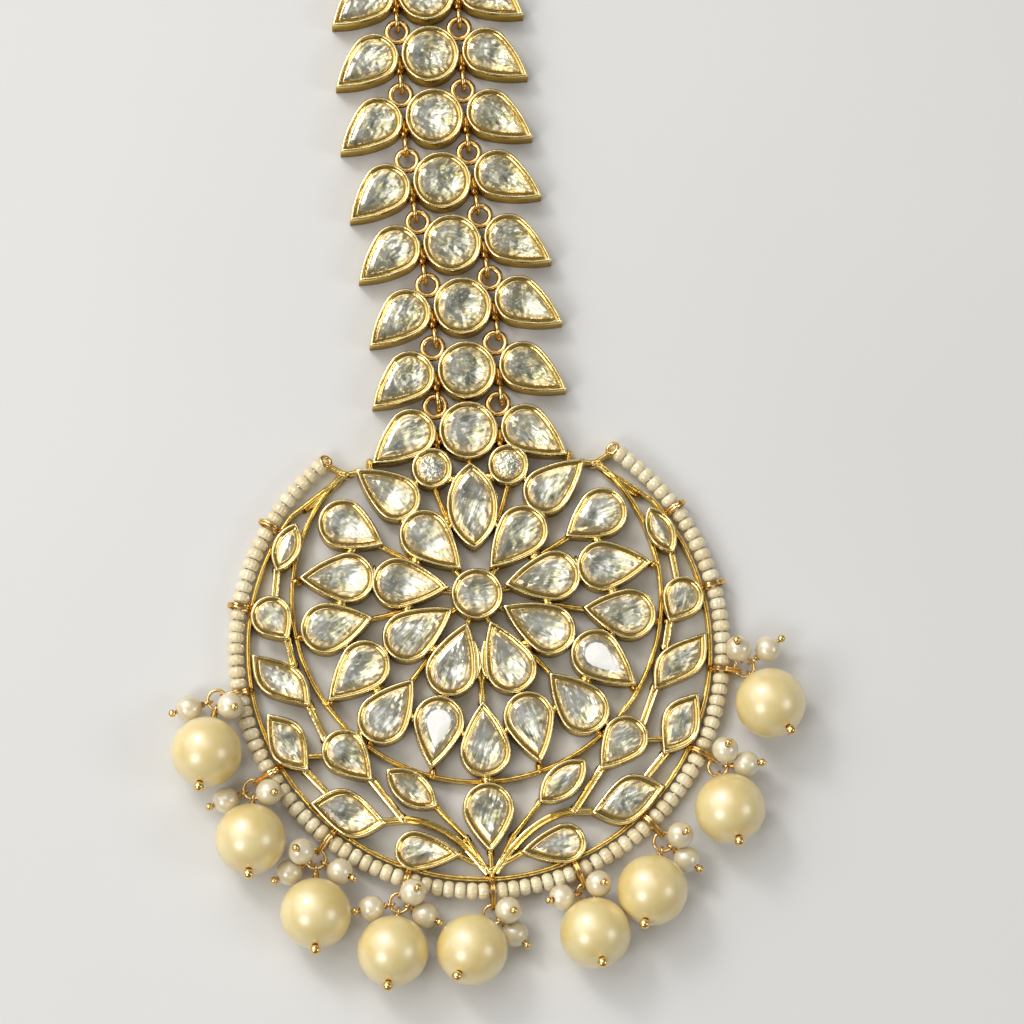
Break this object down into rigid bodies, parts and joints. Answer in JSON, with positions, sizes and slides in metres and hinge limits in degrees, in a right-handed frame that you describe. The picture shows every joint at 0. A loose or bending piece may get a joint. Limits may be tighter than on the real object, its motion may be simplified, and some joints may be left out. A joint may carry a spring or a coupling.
{
  "type": "maang tikka",
  "caption": "Bridal head ornament: pierced round pendant of foiled stones in gold bezels, a chain of stone links with a hair hook, a seed bead rim and pearl drops.",
  "frame": {"origin": "centre of the flower on the pendant's flat back, on the plane that the ornament lies on", "axes": "+Y up the chain to the hair hook, +Z out of the face, +X to the right as the face is looked at"},
  "size_m": [0.0724, 0.1316, 0.008],
  "materials": {
    "gold": "gold plated, polished",
    "kundan_stone": "flat-cut clear stone over crinkled silver foil",
    "big_pearl": "champagne pearl lustre",
    "small_pearl": "ivory pearl lustre",
    "seed_bead": "satin cream"
  },
  "bodies": {
    "root": {"pendant_frame": "gold", "centre_stone": "kundan_stone", "marquise_stone": "kundan_stone", "inner_petal_stones": "kundan_stone", "outer_petal_stones": "kundan_stone", "accent_stones": "kundan_stone", "crescent_stones": "kundan_stone", "top_row_stones": "kundan_stone", "link_1": "gold", "link_stones_1": "kundan_stone", "link_2": "gold", "link_stones_2": "kundan_stone", "link_3": "gold", "link_stones_3": "kundan_stone", "link_4": "gold", "link_stones_4": "kundan_stone", "link_5": "gold", "link_stones_5": "kundan_stone", "link_6": "gold", "link_stones_6": "kundan_stone", "link_7": "gold", "link_stones_7": "kundan_stone", "hair_hook": "gold", "seed_bead_string": "seed_bead", "drop_ring_1": "gold", "big_pearl_1": "big_pearl", "pearl_pin_1": "gold", "drop_ring_2": "gold", "big_pearl_2": "big_pearl", "pearl_pin_2": "gold", "drop_ring_3": "gold", "big_pearl_3": "big_pearl", "pearl_pin_3": "gold", "drop_ring_4": "gold", "big_pearl_4": "big_pearl", "pearl_pin_4": "gold", "drop_ring_5": "gold", "big_pearl_5": "big_pearl", "pearl_pin_5": "gold", "drop_ring_6": "gold", "big_pearl_6": "big_pearl", "pearl_pin_6": "gold", "drop_ring_7": "gold", "big_pearl_7": "big_pearl", "pearl_pin_7": "gold", "drop_ring_8": "gold", "big_pearl_8": "big_pearl", "pearl_pin_8": "gold", "drop_ring_9": "gold", "big_pearl_9": "big_pearl", "pearl_pin_9": "gold", "small_pearls": "small_pearl", "small_pins": "gold"}
  },
  "joints": []
}
